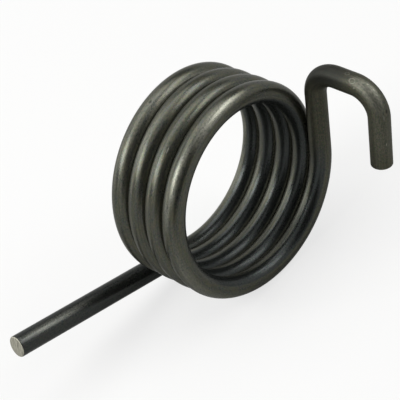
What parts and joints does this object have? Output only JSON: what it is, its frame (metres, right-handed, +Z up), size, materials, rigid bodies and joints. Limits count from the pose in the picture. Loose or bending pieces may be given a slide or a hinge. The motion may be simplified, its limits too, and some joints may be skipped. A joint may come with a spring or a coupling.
{
  "type": "torsion spring",
  "caption": "Close-wound round-wire torsion spring: a straight leg leaves one end of the coil and a square hook turned back on itself ends the other, to twist about an arbor.",
  "frame": {"origin": "on the coil's axis, halfway along the winding", "axes": "+X along the coil's axis, from the straight leg's end to the hook's end; +Z up, as the loose spring rests on its round coil, rocked back until its weight hangs under the axis; the straight leg points to -Y, lifted by 17 degrees, and the hook's opening faces down"},
  "size_m": [0.0474, 0.0852, 0.0494],
  "materials": {
    "oil_tempered_wire": "dark oil-tempered spring steel wire with a satin drawn surface and a thin film of oil"
  },
  "bodies": {
    "root": {"spring_wire": "oil_tempered_wire"}
  },
  "joints": []
}
